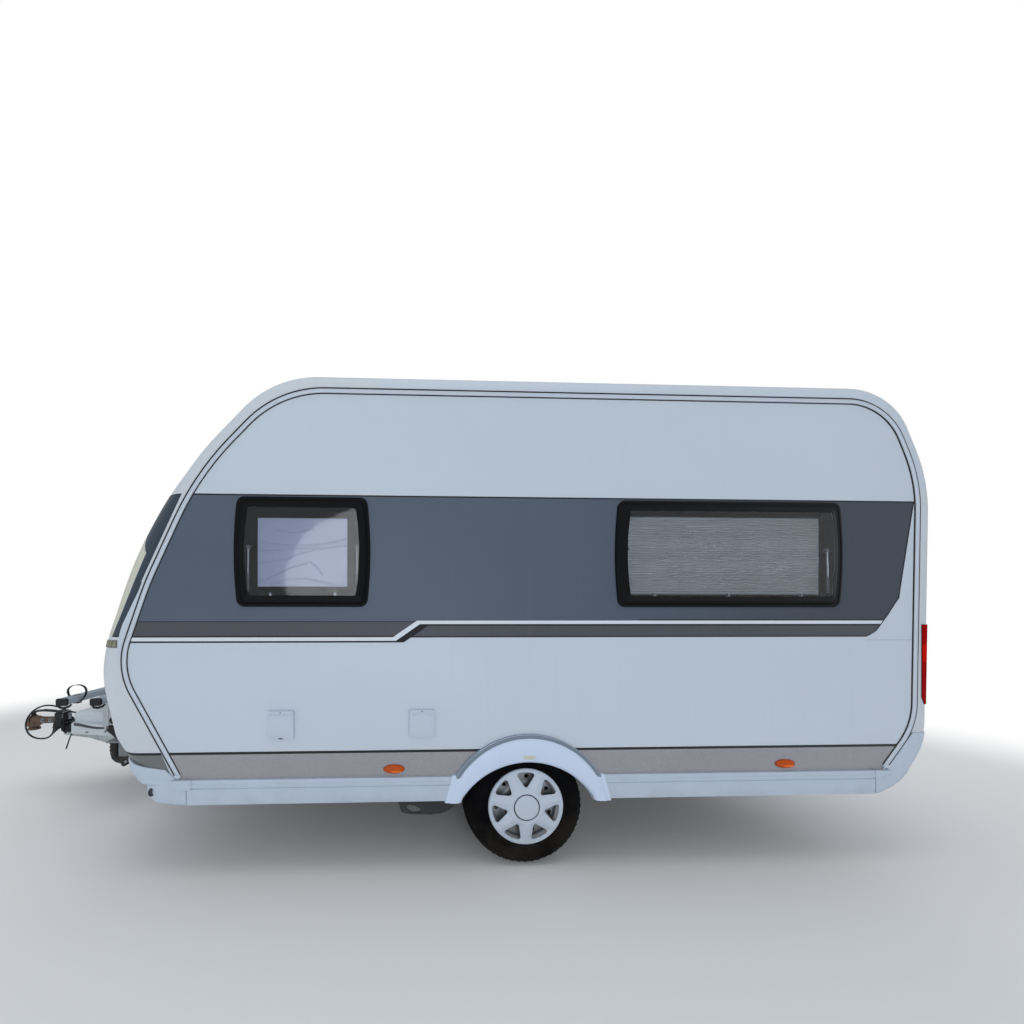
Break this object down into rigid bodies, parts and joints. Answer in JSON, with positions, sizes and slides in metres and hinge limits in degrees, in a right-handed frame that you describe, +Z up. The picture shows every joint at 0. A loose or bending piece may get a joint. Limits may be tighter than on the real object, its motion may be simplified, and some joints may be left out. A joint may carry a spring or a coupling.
{
  "type": "travel caravan",
  "caption": "Single-axle touring caravan with an entrance door, tinted windows, corner steadies, a jockey wheel, an A-frame drawbar and a ball coupling.",
  "frame": {"origin": "on the floor, under the middle of the overall length, in the middle plane", "axes": "+X towards the rear, the coupling points to -X; +Y towards the entrance door's side; +Z up"},
  "size_m": [5.892, 2.2463, 2.673],
  "materials": {
    "shell_white": "gloss white coated sheet on a foam core, with grey and silver decor bands",
    "nose_white": "gloss white moulded plastic",
    "trim_white": "satin white plastic trim",
    "tinted_acrylic": "dark tinted double acrylic glazing",
    "blind_fabric": "pleated blind",
    "anodised_rail": "aluminium rail with dark seals",
    "grey_floor": "black underseal on plywood",
    "galvanised": "hot-dip galvanised steel",
    "black_steel": "black painted steel",
    "tyre_rubber": "black rubber",
    "wheel_silver": "silver paint",
    "cap_white": "white wheel cover",
    "lamp_red": "clear red lens",
    "lamp_amber": "clear amber lens",
    "lamp_clear": "clear lens",
    "handle_grey": "grained grey plastic",
    "black_rubber": "black rubber",
    "furniture": "light wood decor board"
  },
  "bodies": {
    "caravan": {"left_side_wall": "shell_white", "right_side_wall": "shell_white", "front_wall": "nose_white", "front_window": "tinted_acrylic", "rear_wall": "nose_white", "rear_window": "tinted_acrylic", "roof": "shell_white", "side_windows": "tinted_acrylic", "window_blinds": "blind_fabric", "awning_rails": "anodised_rail", "floor_panel": "grey_floor", "wheel_boxes": "black_rubber", "side_skirts": "trim_white", "wheel_arch_spats": "trim_white", "front_bumper": "trim_white", "rear_bumper": "trim_white", "tail_lamps": "lamp_red", "side_marker_lamps": "lamp_amber", "front_marker_lamps": "lamp_clear", "grab_handles": "handle_grey", "roof_vent_kerbs": "trim_white", "fridge_vents": "trim_white", "chassis_frame": "galvanised", "axle_tube": "galvanised", "trailing_arms": "galvanised", "steady_brackets": "galvanised", "jacking_brackets": "black_steel", "overrun_housing": "black_steel", "coupling_head": "galvanised", "overrun_bellows": "black_rubber", "drawbar_cover": "trim_white", "bicycle_carrier": "anodised_rail", "jockey_clamp": "galvanised", "bed_base": "furniture", "washroom_cabinet": "furniture", "kitchen_cabinet": "furniture", "dinette": "furniture", "connection_cable": "black_rubber", "cable_plug": "black_rubber"},
    "left_wheel": {"left_tyre": "tyre_rubber", "left_steel_wheel": "wheel_silver", "left_hubcap": "cap_white"},
    "right_wheel": {"right_tyre": "tyre_rubber", "right_steel_wheel": "wheel_silver", "right_hubcap": "cap_white"},
    "door": {"entrance_door": "shell_white", "door_window": "tinted_acrylic"},
    "locker_lid": {"gas_locker_lid": "nose_white"},
    "front_flap": {"front_service_flap": "trim_white"},
    "rear_flap": {"rear_service_flap": "trim_white"},
    "front_vent": {"front_roof_vent_lid": "lamp_clear"},
    "rear_vent": {"rear_roof_vent_lid": "lamp_clear"},
    "front_left_leg": {"front_left_steady": "galvanised"},
    "front_right_leg": {"front_right_steady": "galvanised"},
    "rear_left_leg": {"rear_left_steady": "galvanised"},
    "rear_right_leg": {"rear_right_steady": "galvanised"},
    "jockey_post": {"jockey_leg": "galvanised"},
    "jockey_caster": {"jockey_fork": "galvanised"},
    "jockey_roller": {"jockey_wheel": "black_rubber"},
    "brake_lever": {"handbrake_lever": "black_steel"}
  },
  "joints": [
    {"name": "left_wheel_spin", "type": "hinge", "parent": "caravan", "child": "left_wheel", "pos_m": [0.604, -0.982, 0.32], "axis": [0, 1, 0], "continuous": true},
    {"name": "right_wheel_spin", "type": "hinge", "parent": "caravan", "child": "right_wheel", "pos_m": [0.604, 0.982, 0.32], "axis": [0, 1, 0], "continuous": true},
    {"name": "door_hinge", "type": "hinge", "parent": "caravan", "child": "door", "pos_m": [1.088, 1.111, 1.35], "axis": [0, 0, 1], "range_deg": [0, 160]},
    {"name": "locker_lid_hinge", "type": "hinge", "parent": "caravan", "child": "locker_lid", "pos_m": [-1.6408, 0, 1.124], "axis": [0, 1, 0], "range_deg": [0, 80]},
    {"name": "front_flap_hinge", "type": "hinge", "parent": "caravan", "child": "front_flap", "pos_m": [-0.683, -1.1115, 0.835], "axis": [-1, 0, 0], "range_deg": [0, 100]},
    {"name": "rear_flap_hinge", "type": "hinge", "parent": "caravan", "child": "rear_flap", "pos_m": [0.044, -1.1115, 0.835], "axis": [-1, 0, 0], "range_deg": [0, 100]},
    {"name": "front_vent_hinge", "type": "hinge", "parent": "caravan", "child": "front_vent", "pos_m": [-0.176, 0, 2.648], "axis": [0, -1, 0], "range_deg": [0, 60]},
    {"name": "rear_vent_hinge", "type": "hinge", "parent": "caravan", "child": "rear_vent", "pos_m": [1.434, 0, 2.648], "axis": [0, -1, 0], "range_deg": [0, 60]},
    {"name": "front_left_leg_hinge", "type": "hinge", "parent": "caravan", "child": "front_left_leg", "pos_m": [-1.156, -0.86, 0.405], "axis": [0, 1, 0], "range_deg": [0, 62]},
    {"name": "front_right_leg_hinge", "type": "hinge", "parent": "caravan", "child": "front_right_leg", "pos_m": [-1.156, 0.86, 0.405], "axis": [0, 1, 0], "range_deg": [0, 62]},
    {"name": "rear_left_leg_hinge", "type": "hinge", "parent": "caravan", "child": "rear_left_leg", "pos_m": [2.504, -0.86, 0.405], "axis": [0, -1, 0], "range_deg": [0, 62]},
    {"name": "rear_right_leg_hinge", "type": "hinge", "parent": "caravan", "child": "rear_right_leg", "pos_m": [2.504, 0.86, 0.405], "axis": [0, -1, 0], "range_deg": [0, 62]},
    {"name": "jockey_winding", "type": "slide", "parent": "caravan", "child": "jockey_post", "axis": [0, 0, 1], "range_m": [0, 0.11]},
    {"name": "jockey_swivel", "type": "hinge", "parent": "jockey_post", "child": "jockey_caster", "pos_m": [-2.148, 0.238, 0.3], "axis": [0, 0, 1], "continuous": true},
    {"name": "jockey_roll", "type": "hinge", "parent": "jockey_caster", "child": "jockey_roller", "pos_m": [-2.098, 0.238, 0.1], "axis": [0, 1, 0], "continuous": true},
    {"name": "handbrake_hinge", "type": "hinge", "parent": "caravan", "child": "brake_lever", "pos_m": [-2.566, 0.078, 0.5], "axis": [0, 1, 0], "range_deg": [0, 75]}
  ]
}
